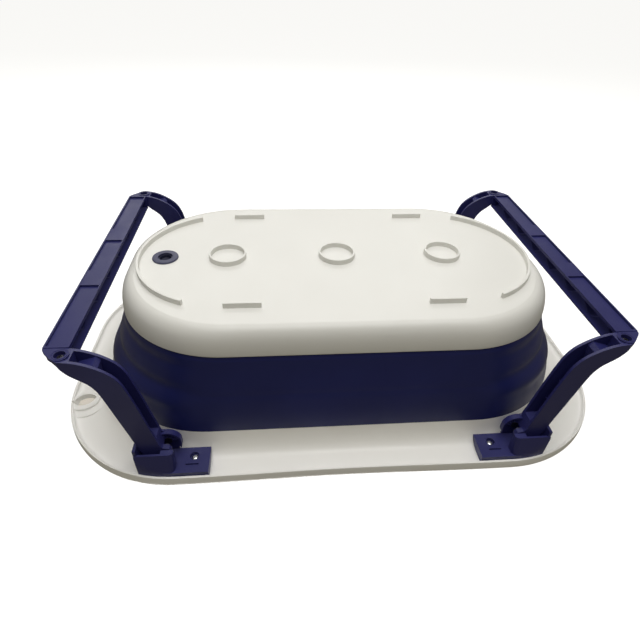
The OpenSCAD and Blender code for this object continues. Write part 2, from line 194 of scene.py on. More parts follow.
def plastic(name, colour, roughness, grain, grain_size, variation=0.03, specular=0.5):
    """Moulded plastic or rubber: slight colour drift, uneven gloss and a fine surface grain."""
    mat = bpy.data.materials.new(name)
    mat.use_nodes = True
    nodes, links = mat.node_tree.nodes, mat.node_tree.links
    bsdf = nodes["Principled BSDF"]
    bsdf.inputs["Specular IOR Level"].default_value = specular
    coords = nodes.new("ShaderNodeTexCoord")

    def noise(scale, detail):
        tex = nodes.new("ShaderNodeTexNoise")
        tex.inputs["Scale"].default_value = scale
        tex.inputs["Detail"].default_value = detail
        links.new(coords.outputs["Object"], tex.inputs["Vector"])
        return tex

    def spread(source, low, high):
        tool = nodes.new("ShaderNodeMapRange")
        tool.inputs["From Min"].default_value = 0.3
        tool.inputs["From Max"].default_value = 0.7
        tool.inputs["To Min"].default_value = low
        tool.inputs["To Max"].default_value = high
        links.new(source.outputs["Fac"], tool.inputs["Value"])
        return tool

    drift = spread(noise(9, 3), 0, 1)
    mix = nodes.new("ShaderNodeMix")
    mix.data_type = "RGBA"
    mix.inputs["A"].default_value = (*[c * (1 - variation) for c in colour], 1)
    mix.inputs["B"].default_value = (*[min(1, c * (1 + variation)) for c in colour], 1)
    links.new(drift.outputs["Result"], mix.inputs["Factor"])
    links.new(mix.outputs["Result"], bsdf.inputs["Base Color"])
    gloss = spread(noise(34, 4), roughness - 0.05, roughness + 0.06)
    links.new(gloss.outputs["Result"], bsdf.inputs["Roughness"])
    bump = nodes.new("ShaderNodeBump")
    bump.inputs["Strength"].default_value = grain
    bump.inputs["Distance"].default_value = 0.0003
    links.new(noise(grain_size, 2).outputs["Fac"], bump.inputs["Height"])
    links.new(bump.outputs["Normal"], bsdf.inputs["Normal"])
    return mat


def steel(name, colour, roughness):
    """Plated or blackened steel with a faint fine grain."""
    mat = plastic(name, colour, roughness, 0.15, 2600, 0.05)
    mat.node_tree.nodes["Principled BSDF"].inputs["Metallic"].default_value = 1
    return mat


WHITE = plastic("white_plastic", (0.9, 0.89, 0.86), 0.34, 0.12, 900, 0.012)
# painted shade: the base and its feet get a darker copy of the rim's white plastic, so they come out dimmer
# than the rim under these lights
WHITE_BASE_PAINTED_SHADE = plastic("white_base_plastic_painted_shade", (0.74, 0.735, 0.7), 0.4, 0.12, 900, 0.012)
NAVY = plastic("navy_plastic", (0.02, 0.021, 0.11), 0.4, 0.22, 1500, 0.08, specular=0.4)
SOFT = plastic("navy_soft_wall", (0.01, 0.014, 0.1), 0.42, 0.2, 1100, 0.1, specular=0.3)
DRAIN = plastic("navy_drain_rubber", (0.045, 0.048, 0.1), 0.5, 0.25, 1400, 0.06)
DRAIN_DARK = plastic("navy_stopper_rubber", (0.012, 0.014, 0.04), 0.5, 0.25, 1400, 0.06)
STEEL = steel("plated_steel", (0.78, 0.79, 0.8), 0.24)
PIN_STEEL = steel("blackened_steel", (0.06, 0.06, 0.075), 0.42)


# ---------------------------------------------------------------- mesh tools

def finish_piece(name, bm, mat, body, replaced=(), sharp=40, bevel=0.0, segments=2):
    """Turns a bmesh into a piece: recalculated normals, small rounded edges, smooth shading."""
    bmesh.ops.remove_doubles(bm, verts=bm.verts, dist=1e-6)
    bmesh.ops.recalc_face_normals(bm, faces=bm.faces)
    mesh = bpy.data.meshes.new(name)
    bm.to_mesh(mesh)
    bm.free()
    mesh.materials.append(mat)
    piece = bpy.data.objects.new(name, mesh)
    bpy.context.scene.collection.objects.link(piece)
    if bevel:
        tool = piece.modifiers.new("rounded_edges", "BEVEL")
        tool.width = bevel
        tool.segments = segments
        tool.limit_method = "ANGLE"
        tool.angle_limit = math.radians(sharp)
        tool.harden_normals = False
        apply_modifiers(piece)
    for polygon in piece.data.polygons:
        polygon.use_smooth = True
    piece.data.set_sharp_from_angle(angle=math.radians(sharp))
    weigh = piece.modifiers.new("weighted_normals", "WEIGHTED_NORMAL")
    weigh.keep_sharp = True
    if body:
        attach(piece, body)
    if replaced:
        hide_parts(*replaced)
    return piece


def apply_modifiers(piece):
    """Replaces the piece's mesh with the one that its modifiers make."""
    graph = bpy.context.evaluated_depsgraph_get()
    made = bpy.data.meshes.new_from_object(piece.evaluated_get(graph))
    old = piece.data
    piece.modifiers.clear()
    piece.data = made
    bpy.data.meshes.remove(old)


def scratch(bm):
    """A temporary object from a bmesh."""
    bmesh.ops.recalc_face_normals(bm, faces=bm.faces)
    mesh = bpy.data.meshes.new("scratch")
    bm.to_mesh(mesh)
    bm.free()
    piece = bpy.data.objects.new("scratch", mesh)
    bpy.context.scene.collection.objects.link(piece)
    return piece


def boolean(target, operation, tools):
    """Applies one exact boolean for each tool, which is then removed."""
    for tool in tools:
        step = target.modifiers.new("step", "BOOLEAN")
        step.operation = operation
        step.solver = "EXACT"
        step.object = tool
        apply_modifiers(target)
        mesh = tool.data
        bpy.data.objects.remove(tool)
        bpy.data.meshes.remove(mesh)
    return target


def to_bmesh(piece):
    """Takes the mesh out of a temporary object."""
    bm = bmesh.new()
    bm.from_mesh(piece.data)
    mesh = piece.data
    bpy.data.objects.remove(piece)
    bpy.data.meshes.remove(mesh)
    return bm


def at_depth(x, y, depth):
    return Vector((x, y, RIM_TOP - depth))


def round_rect(a, b, r, steps, straight):
    """Points around a rounded rectangle; every outline with the same steps has the same number."""
    points = []
    for quarter in range(4):
        sx = 1 if quarter in (0, 3) else -1
        sy = 1 if quarter < 2 else -1
        corner = [(sx * (a - r) + r * math.cos(t), sy * (b - r) + r * math.sin(t))
                  for t in (math.pi / 2 * (quarter + i / steps) for i in range(steps + 1))]
        points += corner
        if quarter % 2 == 0:
            end = (-sx * (a - r), corner[-1][1])
        else:
            end = (corner[-1][0], -sy * (b - r))
        for i in range(1, straight):
            f = i / straight
            points.append((corner[-1][0] + (end[0] - corner[-1][0]) * f,
                           corner[-1][1] + (end[1] - corner[-1][1]) * f))
    return points


def smooth_levels(levels, between):
    """Adds Catmull-Rom levels between the given ones; a level that is doubled stays a crease."""
    out = []
    count = len(levels)
    for i in range(count - 1):
        p1, p2 = levels[i], levels[i + 1]
        if p1 == p2:
            continue
        p0 = levels[i - 1] if i and levels[i - 1] != p1 else p1
        p3 = levels[i + 2] if i + 2 < count and levels[i + 2] != p2 else p2
        for k in range(between):
            t = k / between
            out.append([0.5 * (2 * b + (c - a) * t + (2 * a - 5 * b + 4 * c - d) * t * t
                               + (3 * b - a - 3 * c + d) * t ** 3)
                        for a, b, c, d in zip(p0, p1, p2, p3)])
    out.append(list(levels[-1]))
    return out


def skin(bm, rings, capped=False):
    """Joins each ring of corners to the next one, and closes both ends where it is capped."""
    for low, high in zip(rings, rings[1:]):
        for i in range(len(low)):
            j = (i + 1) % len(low)
            bm.faces.new((low[i], low[j], high[j], high[i]))
    if capped:
        bm.faces.new(rings[0])
        bm.faces.new(rings[-1])


def loft(bm, levels, closed=False, capped=False, shape=None):
    """Skins rounded rectangles [half length, half width, corner radius, depth].

    shape(x, y, depth) may move each corner; a closed loft ends where it began.
    """
    rings = []
    for a, b, r, depth in levels:
        ring = []
        for x, y in round_rect(a, b, r, LOFT_ARC, LOFT_STRAIGHT):
            corner = shape(x, y, depth) if shape else (x, y, depth)
            ring.append(bm.verts.new(at_depth(*corner)))
        rings.append(ring)
    if closed:
        rings.append(rings[0])
    skin(bm, rings, capped)


def prism(bm, outline, place):
    """Extrudes a flat outline; place(u, v, side) gives a corner's place for side 0 and 1."""
    sides = [[bm.verts.new(place(u, v, side)) for u, v in outline] for side in (0, 1)]
    bm.faces.new(sides[0])
    bm.faces.new(sides[1])
    for i in range(len(outline)):
        j = (i + 1) % len(outline)
        bm.faces.new((sides[0][i], sides[0][j], sides[1][j], sides[1][i]))


def slab(bm, outline, y0, y1):
    """Side-view outline (x, depth), from y0 to y1 across the tub."""
    prism(bm, outline, lambda x, d, side: at_depth(x, y1 if side else y0, d))


def cross_slab(bm, outline, x0, x1):
    """End-view outline (y, depth), from x0 to x1 along the tub."""
    prism(bm, outline, lambda y, d, side: at_depth(x1 if side else x0, y, d))


def plate(bm, outline, d0, d1):
    """Plan outline (x, y), from depth d0 to d1."""
    prism(bm, outline, lambda x, y, side: at_depth(x, y, d1 if side else d0))


def box(bm, x0, x1, y0, y1, d0, d1):
    plate(bm, [(x0, y0), (x1, y0), (x1, y1), (x0, y1)], d0, d1)


def disc(x, y, r, count=48):
    return [(x + r * math.cos(t), y + r * math.sin(t))
            for t in (2 * math.pi * i / count for i in range(count))]


def arc(x, y, r, a0, a1, count):
    """Points on an arc, from angle a0 to a1 in degrees."""
    return [(x + r * math.cos(math.radians(a0 + (a1 - a0) * i / count)),
             y + r * math.sin(math.radians(a0 + (a1 - a0) * i / count)))
            for i in range(count + 1)]


def tool_from(build, *args):
    """A temporary object for a boolean, drawn by one of the functions above."""
    bm = bmesh.new()
    build(bm, *args)
    return scratch(bm)


def lathe(bm, profile, centre, count=64):
    """Turns a profile of (radius, depth) points about a vertical axis; radius 0 closes it."""
    rings = []
    for r, d in profile:
        if r < 1e-9:
            rings.append([bm.verts.new(at_depth(centre[0], centre[1], d))])
        else:
            rings.append([bm.verts.new(at_depth(x, y, d)) for x, y in disc(*centre, r, count)])
    for low, high in zip(rings, rings[1:]):
        for i in range(count):
            j = (i + 1) % count
            corners = [low[i % len(low)], low[j % len(low)], high[j % len(high)], high[i % len(high)]]
            unique = list(dict.fromkeys(corners))
            if len(unique) > 2:
                bm.faces.new(unique)


def mirrored(bm, sx, sy):
    """Moves what was drawn at the right front corner to the corner with signs sx and sy."""
    bmesh.ops.scale(bm, vec=(sx, sy, 1), verts=bm.verts)


def mm(*points):
    """Points given in millimetres."""
    return [tuple(value * MM for value in point) for point in points]


def curve_through(points, between=6):
    """Smooth open curve through points."""
    return [tuple(p) for p in smooth_levels([list(p) for p in points], between)]


# ---------------------------------------------------------------- tub

def waist(x, y, depth):
    """The rim's long sides draw in a little at the middle."""
    reach = 0.21
    pull = 2.5 * MM * 0.5 * (1 + math.cos(math.pi * min(1, abs(x) / reach)))
    share = min(1, max(0, (abs(y) - 0.19) / 0.03))
    return x, y - math.copysign(pull * share, y), depth


def leaf(length, width, count=14):
    """Lens outline around the hanging slot's centre, with small flats at its two tips."""
    x, y, turn = -383.5 * MM, 98.5 * MM, math.radians(-20)
    radius = (length * length + width * width) / (4 * width)
    reach = math.asin(length / 2 / radius) * 0.97
    points = []
    for side in (1, -1):
        for i in range(count + 1):
            t = side * reach * (1 - 2 * i / count)
            u, v = radius * math.sin(t), side * (radius * math.cos(t) - radius + width / 2)
            points.append((x + u * math.cos(turn) - v * math.sin(turn),
                           y + u * math.sin(turn) + v * math.cos(turn)))
    return points


def raised_pad(bm, levels, shift):
    """Stacks lens outlines (length, width, depth) into a low pad that leans towards the front."""
    rings = [[bm.verts.new(at_depth(x, y + shift, d)) for x, y in leaf(length, width)]
             for length, width, d in levels]
    skin(bm, rings, capped=True)


def make_rim():
    """White flange with the lip around it, the skirt down to the soft wall and the hanging slot."""
    a, b, r = RIM_A, RIM_B, 178 * MM
    lip = 4.5 * MM

    def inset(d, radius_drop, depth):
        return [a - d * MM, b - d * MM, r - radius_drop * MM, depth]

    wall_end = [345 * MM, 194.5 * MM, 160 * MM, SEAM_TOP]
    inner = [wall_end[0] - SHELL_T, wall_end[1] - SHELL_T, 158 * MM, SEAM_TOP]
    fillet = [list(level) for level in mm(
        (346.3, 195.4, 160.6, 37), (348.5, 197, 161.5, 28), (353, 199.5, 163, 21), (359, 203, 164.5, 15.5),
        (367, 208.5, 166.5, 11), (378, 216, 170, 9), (391, 228.5, 172.5, 8.6))]
    inside = [list(level) for level in mm(
        (374, 212.5, 166.5, 5), (366, 206, 164.5, 7.2), (358, 200.5, 162.5, 12), (350, 196.2, 160.5, 20),
        (345.3, 193.8, 159, 28), (343, 192.3, 158.4, 37))]
    lip_in = inset(4.5, 5, LIP_DEPTH - 0.6 * MM)
    levels = [
        inner, inner, wall_end, wall_end, *fillet,
        inset(8.5, 7.5, FLANGE_DEPTH + 0.4 * MM), inset(5.2, 5.6, FLANGE_DEPTH + 2.6 * MM),
        lip_in, lip_in,
        inset(3.8, 4.5, LIP_DEPTH), inset(1.8, 2, LIP_DEPTH), inset(0.9, 1, LIP_DEPTH - 0.8 * MM),
        inset(0, 0, 8 * MM), inset(0.2, 0.3, 4 * MM), inset(1.2, 1.2, 1.2 * MM), inset(3.2, 3.2, 0),
        inset(5.8, 5.5, 0.8 * MM), inset(8.8, 7.8, FLANGE_DEPTH - 4.5 * MM),
        inset(13, 9.5, FLANGE_DEPTH - 4 * MM),
        *inside, inner,
    ]
    bm = bmesh.new()
    loft(bm, smooth_levels(levels, 3)[:-1], closed=True, shape=waist)
    rim = scratch(bm)
    # the hanging slot's stepped collar: a wide pad with a taller one on it, inside the lip
    collar = ((mm((64, 54, 7), (63, 53, 9.9), (61.5, 51.5, 10.6)), 5 * MM),
              (mm((47, 37, 7), (45.5, 35.5, 13), (43.5, 33.5, 14)), 1.5 * MM))
    within_lip = round_rect(a - lip + 0.3 * MM, b - lip, r - 5 * MM, 30, 4)
    pads = [boolean(tool_from(raised_pad, levels, shift), "INTERSECT",
                    [tool_from(plate, within_lip, 0, 30 * MM)]) for levels, shift in collar]
    boolean(rim, "UNION", pads)
    collar_notch = (-403 * MM, -396 * MM, 102.5 * MM, 105.5 * MM, 10.5 * MM, 30 * MM)
    boolean(rim, "DIFFERENCE", [
        tool_from(plate, leaf(32 * MM, 22 * MM), -5 * MM, 30 * MM),
        tool_from(box, *collar_notch)])
    finish_piece("rim", to_bmesh(rim), WHITE, "rim", ["rim_shell"], sharp=50)


def smoothstep(low, high, value):
    """0 at low, 1 at high and an even ease between them."""
    t = min(1, max(0, (value - low) / (high - low)))
    return t * t * (3 - 2 * t)


def make_wall():
    """Soft wall: flat bands at both seams, a bulge between them and shallow folds at the ends."""
    top, bottom = SEAM_TOP, SEAM_BOTTOM
    height = bottom - top
    seam_a, seam_b, seam_r = 345 * MM, 194.5 * MM, 160 * MM
    base_a, base_b, base_r = 306.3 * MM, 177 * MM, 150 * MM
    steps = 44

    def outer(t):
        # t runs from the rim seam to the base seam
        ease = t * t * (3 - 2 * t) * 0.62 + t * 0.38
        a = seam_a + (base_a - seam_a) * ease
        b = seam_b + (base_b - seam_b) * ease
        r = seam_r + (base_r - seam_r) * t
        step = 1.6 * MM * (smoothstep(0.985, 0.955, t) - 1)
        bulge = 1.6 * MM * math.sin(math.pi * t)
        grow = step + bulge
        return [a + grow, b + grow, r + grow, top + height * t]

    def fold(x, y, depth):
        t = (depth - top) / height
        end = smoothstep(0.17, 0.27, abs(x))
        dent = math.exp(-((t - 0.55) / 0.065) ** 2) - 0.75 * math.exp(-((t - 0.38) / 0.08) ** 2)
        dent += 0.5 * math.exp(-((t - 0.84) / 0.05) ** 2)
        inward = 3.4 * MM * dent * end + 0.5 * MM * math.exp(-((t - 0.5) / 0.04) ** 2) * (1 - end)
        n = Vector((x, y, 0)).normalized()
        return x - n.x * inward, y - n.y * inward, depth

    outside = [outer(i / steps) for i in range(steps + 1)]
    inside = [[a - WALL_T, b - WALL_T, r - WALL_T, d] for a, b, r, d in reversed(outside)]
    bm = bmesh.new()
    loft(bm, outside + inside, closed=True, shape=fold)
    wall = finish_piece("soft_wall", bm, SOFT, None, ["tub_wall"], sharp=50)
    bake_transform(wall)


def foot_ring(bm, x, y, outer, wall, top, bottom, soft=0.7 * MM):
    """A low round wall with rounded upper edges."""
    lathe(bm, [(outer, top), (outer, bottom - soft), (outer - soft * 0.3, bottom - soft * 0.3),
               (outer - soft, bottom), (outer - wall + soft, bottom),
               (outer - wall + soft * 0.3, bottom - soft * 0.3), (outer - wall, bottom - soft),
               (outer - wall, top), (outer, top)], (x, y))


def foot_strip(bm, centre_line, width, top, bottom, soft=0.7 * MM):
    """A low wall along a line of (x, y) points, with rounded upper edges and closed ends."""
    section = [(-width / 2, top), (-width / 2, bottom - soft), (-width / 2 + soft * 0.3, bottom - soft * 0.3),
               (-width / 2 + soft, bottom), (width / 2 - soft, bottom),
               (width / 2 - soft * 0.3, bottom - soft * 0.3), (width / 2, bottom - soft), (width / 2, top)]
    rings = []
    for i, point in enumerate(centre_line):
        before = centre_line[max(0, i - 1)]
        after = centre_line[min(len(centre_line) - 1, i + 1)]
        along = Vector((after[0] - before[0], after[1] - before[1])).normalized()
        across = Vector((-along.y, along.x))
        rings.append([bm.verts.new(at_depth(point[0] + across.x * w, point[1] + across.y * w, d))
                      for w, d in section])
    skin(bm, rings, capped=True)


def make_base():
    """White tray under the soft wall, with generous edge rounding and the drain's hole."""
    rises = [0, 1.6, 5.2, 11, 19, 28]
    plan = mm((288, 157, 141), (293.3, 162.5, 144), (298.2, 167.4, 146.2), (302.2, 171.6, 148),
              (304.7, 174.6, 149.3), (306, 176.4, 150))
    outside = [[*row, BASE_DEPTH - rise * MM] for row, rise in zip(plan, rises)]
    outside.append([306.3 * MM, 177 * MM, 150 * MM, SEAM_BOTTOM + 0.5 * MM])
    rim_edge = [[305.8 * MM, 176.5 * MM, 149.5 * MM, SEAM_BOTTOM],
                [303.8 * MM, 174.5 * MM, 147.5 * MM, SEAM_BOTTOM]]
    inside = [[a - SHELL_T, b - SHELL_T, r - SHELL_T,
               max(SEAM_BOTTOM, min(d - 0.2 * MM, BASE_DEPTH - SHELL_T))]
              for a, b, r, d in reversed(outside[:-1])]
    bm = bmesh.new()
    levels = smooth_levels(outside, 3) + rim_edge + smooth_levels(inside, 3)
    loft(bm, levels, capped=True)
    base = scratch(bm)
    hole = tool_from(plate, disc(DRAIN_X, 0, 14 * MM, 64), BASE_DEPTH - 20 * MM, BASE_DEPTH + 20 * MM)
    boolean(base, "DIFFERENCE", [hole])
    finish_piece("base", to_bmesh(base), WHITE_BASE_PAINTED_SHADE, "base", ["base_shell"], sharp=50)
    make_feet()


def make_feet():
    """Foot rings, bars and arcs moulded on the base."""
    top, bottom = BASE_DEPTH - 1 * MM, FLOOR_DEPTH
    pitch, width = 160.5 * MM, 4 * MM
    bar_x, bar_y, bar_length = 133.5 * MM, 123.5 * MM, 48.4 * MM
    bm = bmesh.new()
    for x in (-pitch, 0, pitch):
        foot_ring(bm, x, 0, 27 * MM, 3 * MM, top, bottom)
    for sx in (-1, 1):
        for sy in (-1, 1):
            ends = [(sx * bar_x + half, sy * bar_y) for half in (-bar_length / 2, bar_length / 2)]
            foot_strip(bm, ends, width, top, bottom)
        line = [(sx * (pitch + x), y) for x, y in arc(0, 0, 126 * MM, -67, 67, 56)]
        foot_strip(bm, line, width, top, bottom)
    finish_piece("base_feet", bm, WHITE_BASE_PAINTED_SHADE, "base", sharp=50)


def make_drain():
    """Ring in the base, the stopper in it with its hollow stem, and the pull tab in the bath."""
    d = BASE_DEPTH
    seat = bmesh.new()
    lathe(seat, [
        (10 * MM, d + 2 * MM), (10.5 * MM, d + 2.5 * MM), (17 * MM, d + 2.5 * MM), (18 * MM, d + 2.1 * MM),
        (18.5 * MM, d + 1.2 * MM), (18.5 * MM, d), (14 * MM, d), (14 * MM, d - SHELL_T),
        (17 * MM, d - SHELL_T), (17 * MM, d - 4.9 * MM), (16.4 * MM, d - 5.5 * MM),
        (10.5 * MM, d - 5.5 * MM), (10 * MM, d - 5 * MM), (10 * MM, d + 2 * MM)], (DRAIN_X, 0))
    finish_piece("drain_ring", seat, DRAIN, "base", ["drain_seat"], sharp=50)
    top = d - 5.5 * MM
    plug = bmesh.new()
    lathe(plug, [
        (0, top + 0.5 * MM), (5.6 * MM, top + 0.5 * MM), (7.6 * MM, top + 1.5 * MM),
        (7.9 * MM, top + 5.2 * MM), (8.3 * MM, top + 5.7 * MM), (9.3 * MM, top + 5.7 * MM),
        (9.9 * MM, top + 5 * MM), (9.9 * MM, top), (15.2 * MM, top), (16 * MM, top - 0.8 * MM),
        (16 * MM, top - 1.8 * MM), (14.6 * MM, top - 3 * MM), (0, top - 3 * MM)], (DRAIN_X, 0))
    finish_piece("drain_stopper", plug, DRAIN_DARK, "plug", ["drain_plug"], sharp=50)
    tab_depth = top - 8 * MM
    outline = [*arc(0, tab_depth, 6 * MM, 180, 360, 20),
               (6 * MM, top - 2.5 * MM), (-6 * MM, top - 2.5 * MM)]
    tab = tool_from(cross_slab, outline, DRAIN_X - 1.5 * MM, DRAIN_X + 1.5 * MM)
    hole = tool_from(cross_slab, disc(0, tab_depth, 3 * MM, 32), DRAIN_X - 5 * MM, DRAIN_X + 5 * MM)
    boolean(tab, "DIFFERENCE", [hole])
    finish_piece("drain_pull_tab", to_bmesh(tab), DRAIN_DARK, "plug", bevel=0.6 * MM)


# ---------------------------------------------------------------- hinge brackets

PLATE_DEPTH = 21.5 * MM
PLATE_X0, PLATE_X1 = 184.5 * MM, 275.5 * MM
# what stands on the plate begins this deep, inside it
ROOT_DEPTH = PLATE_DEPTH - 1 * MM
SCREW_X, SCREW_Y = 205 * MM, 214 * MM
SCREW_SEAT = PLATE_DEPTH - 5 * MM
BLOCK_X0, BLOCK_Y0, BLOCK_Y1 = 227 * MM, 224 * MM, 239.6 * MM
BLOCK_DEPTH, BLOCK_CORNER, BLOCK_LEAN = 50 * MM, 7 * MM, 7.2 * MM
CHEEK_X, CHEEK_DEPTH = 271.8 * MM, 59 * MM
LUG_R, LUG_ROOT = 10 * MM, 18.5 * MM
LUG_Y0, LUG_Y1 = 196.8 * MM, 199.5 * MM
STOP_Y0, STOP_Y1 = 209 * MM, 216 * MM


def leaning_block(bm):
    """The block over the leg's foot, whose front face leans back towards its free end."""
    plan = [(PLATE_X1, BLOCK_Y0), (PLATE_X1, BLOCK_Y1),
            *arc(BLOCK_X0 + BLOCK_CORNER, BLOCK_Y1 - BLOCK_CORNER, BLOCK_CORNER, 90, 180, 8),
            (BLOCK_X0, BLOCK_Y0)]

    def corner(x, y, high):
        if not high:
            return at_depth(x, y, ROOT_DEPTH)
        lean = BLOCK_LEAN * (y - BLOCK_Y0) / (BLOCK_Y1 - BLOCK_Y0)
        return at_depth(x, y - lean, BLOCK_DEPTH)

    prism(bm, plan, corner)


def make_bracket(side, sx, end, sy):
    """Plate with a screw recess, the block over the leg's foot, the cheek, the inner lug and the stop."""
    hinge = (HINGE_X, HINGE_DEPTH)
    lug_x0, lug_x1 = HINGE_X - LUG_R, HINGE_X + LUG_R
    # the section follows the fillet under the flange
    section = mm((200.4, 21.5), (202.6, 18), (206, 14.2), (211.2, 11), (218.5, 9.2),
                 (239.8, 9.2), (239.8, 21.5))
    body = tool_from(cross_slab, section, PLATE_X0, PLATE_X1)
    boolean(body, "UNION", [
        tool_from(leaning_block),
        tool_from(box, CHEEK_X, PLATE_X1, 216 * MM, 231.5 * MM, ROOT_DEPTH, CHEEK_DEPTH),
    ])
    within_lip = round_rect(RIM_A - 5 * MM, RIM_B - 5 * MM, 173 * MM, 48, 4)
    boolean(body, "INTERSECT", [tool_from(plate, within_lip, 0, 80 * MM)])
    lug = [(lug_x0, LUG_ROOT), (lug_x1, LUG_ROOT), *arc(*hinge, LUG_R, 0, 180, 20)]
    stop = mm((252, 20.5), (266, 20.5), (266, 47.2), (260, 47.2))
    boolean(body, "UNION", [
        tool_from(slab, lug, LUG_Y0, LUG_Y1),
        tool_from(box, lug_x0, lug_x1, LUG_Y0, LUG_Y0 + 7 * MM, LUG_ROOT, PLATE_DEPTH - 0.1 * MM),
        tool_from(slab, stop, STOP_Y0, STOP_Y1),
        # gusset between the stop and the cheek
        tool_from(box, 262 * MM, PLATE_X1, STOP_Y0, STOP_Y1 + 0.2 * MM, ROOT_DEPTH, 42 * MM),
    ])
    plate_slot = (198.5 * MM, 215.5 * MM, 225.9 * MM, 227.9 * MM,
                  PLATE_DEPTH - 2.6 * MM, PLATE_DEPTH + 3 * MM)
    heel_slot = (243 * MM, CHEEK_X, 222 * MM, 229.6 * MM, 42.5 * MM, 55 * MM)
    drum_pocket = (lug_x0, lug_x1, 199.6 * MM, 207.4 * MM, 19.8 * MM, 24 * MM)
    boolean(body, "DIFFERENCE", [
        tool_from(plate, disc(SCREW_X, SCREW_Y, 6 * MM, 40), SCREW_SEAT, PLATE_DEPTH + 5 * MM),
        *[tool_from(box, *cut) for cut in (plate_slot, heel_slot, drum_pocket)],
        tool_from(slab, disc(*hinge, PIN_R, 40), 190 * MM, LUG_Y1 + 0.2 * MM),
        tool_from(slab, disc(*hinge, PIN_R, 40), 223.8 * MM, 231.4 * MM),
    ])
    bm = to_bmesh(body)
    mirrored(bm, sx, sy)
    finish_piece(f"bracket_{side}_{end}_body", bm, NAVY, "rim", [f"bracket_{side}_{end}"],
                 sharp=35, bevel=0.9 * MM, segments=3)


def screw(x, y, seat, tip):
    """One pan-head screw with a cross recess; its head stands on the seat, away from the tip."""
    bm = bmesh.new()
    lathe(bm, [(0, tip), (2 * MM, tip), (2 * MM, seat), (4.3 * MM, seat), (4.3 * MM, seat + 1.0 * MM),
               (3.9 * MM, seat + 1.8 * MM), (2.8 * MM, seat + 2.4 * MM), (0, seat + 2.6 * MM)], (x, y), 32)
    body = scratch(bm)
    for wide, deep in ((2.2 * MM, 0.45 * MM), (0.45 * MM, 2.2 * MM)):
        boolean(body, "DIFFERENCE", [
            tool_from(box, x - wide, x + wide, y - deep, y + deep, seat + 1.3 * MM, seat + 5 * MM)])
    return body


def screw_set(name, places, seat, tip, body, replaced, mat):
    """Several screws of one kind, joined into one piece."""
    whole = bmesh.new()
    for x, y in places:
        part = screw(x, y, seat, tip)
        whole.from_mesh(part.data)
        to_bmesh(part).free()
    finish_piece(name, whole, mat, body, [replaced], sharp=35)


def make_screws():
    plate_places = [(sx * SCREW_X, sy * SCREW_Y) for sx in (-1, 1) for sy in (-1, 1)]
    screw_set("plate_screws", plate_places, SCREW_SEAT, 6 * MM, "rim", "bracket_screws", STEEL)
    for side, sx in SIDES:
        tips = [(sx * TIP_X, sy * TIP_Y) for sy in (-1, 1)]
        screw_set(f"tip_screws_{side}", tips, TIP_SEAT, TONGUE_TOP, f"leg_{side}",
                  f"leg_screws_{side}", PIN_STEEL)


# ---------------------------------------------------------------- legs

ARM_Y0, ARM_Y1 = 199.8 * MM, 223.5 * MM
ARM_T = 3.6 * MM
EYE_R = PIN_R + 0.05 * MM
HUB_R, HUB_Y = 6.2 * MM, 204.4 * MM
OUTER_EYE_R, OUTER_EYE_Y = 6.8 * MM, 216.5 * MM
DRUM_R, DRUM_CORE_R, DRUM_DROP = 17 * MM, 14.4 * MM, 5.5 * MM
DRUM_Y, DRUM_FLOOR_Y = 207.5 * MM, ARM_Y0 + 1.6 * MM
TIP_X, TIP_Y, TIP_SEAT = 323.3 * MM, 211.65 * MM, 203 * MM
# the crossbar's tongue in the arm's tip, and the gap around it
TONGUE_HALF, TONGUE_Y, TONGUE_TOP, TONGUE_BOTTOM = 4.4 * MM, 215.4 * MM, 194 * MM, 199.5 * MM
TONGUE_GAP = 0.2 * MM
# side view of the arm (x, depth): the inner edge from the hinge down, the outer edge back up
ARM_INNER = mm((241, 48), (248.5, 88), (255.5, 128), (261.5, 157), (265, 170), (270.5, 181), (279, 190),
               (291, 198), (304, 203.8), (317, 206.6), (329, 207.3), (345.5, 207.3))
ARM_OUTER = mm((345.5, 204.2), (333, 203.8), (327.5, 202), (323.9, 198.6), (321, 193.6), (317, 188),
               (312, 183), (306.5, 178.6), (300, 172.5), (294.5, 163.5), (291, 153), (286, 131),
               (277, 89.5), (268, 48))
# plan of the arm (x, y), with the tip's slanted end
ARM_TIP = mm((345.5, 199.8), (345, 202.4), (342.9, 205.8), (339.2, 209.8), (333.4, 215.8),
             (329, 219.8), (323, 223.5))
ARM_PLAN = [(200 * MM, ARM_Y0), *curve_through(ARM_TIP, 4), (200 * MM, ARM_Y1)]
# side view of the channel's hollow
HOLLOW_INNER = mm((231, 70), (238, 100), (246, 128), (252, 160), (256, 178), (266, 196), (284, 208),
                  (302, 214), (312, 215))
HOLLOW_OUTER = mm((312, 190), (305.5, 183), (297.5, 175), (291.4, 165), (287.5, 154), (282.5, 131.5),
                  (276.2, 100), (270.2, 72), (268, 70))
# side views of the webs between the channel and the arm's two eyes
ARM_HEEL = mm((271.2, 63), (268, 48), (264, 41))
INNER_WEB = [*mm((237, 45), (226.6, 58), (243.6, 63)), *ARM_HEEL, (249.8 * MM, 34.4 * MM)]
OUTER_WEB = [*mm((237, 45), (232, 51), (240, 53), (245, 59)), *ARM_HEEL, (243 * MM, 39 * MM)]


def drum_outline(r):
    """Side view of the hinge drum: round about the hinge, drawn out towards the plate."""
    return (arc(HINGE_X, HINGE_DEPTH, r, 0, 180, 36)
            + arc(HINGE_X, HINGE_DEPTH - DRUM_DROP, r, 180, 360, 36))


def spoke(angle):
    """A thin rib between the drum's hub and its wall, at an angle in degrees."""
    t = math.radians(angle)
    along, across = Vector((math.sin(t), math.cos(t))), Vector((math.cos(t), -math.sin(t)))
    near, far, half = 5, 15, 0.5
    corners = [Vector((HINGE_X, HINGE_DEPTH)) + along * r * MM + across * w * MM
               for r, w in ((near, -half), (far, -half), (far, half), (near, half))]
    return tool_from(slab, [tuple(c) for c in corners], ARM_Y0 + 1 * MM, DRUM_Y - 2.2 * MM)


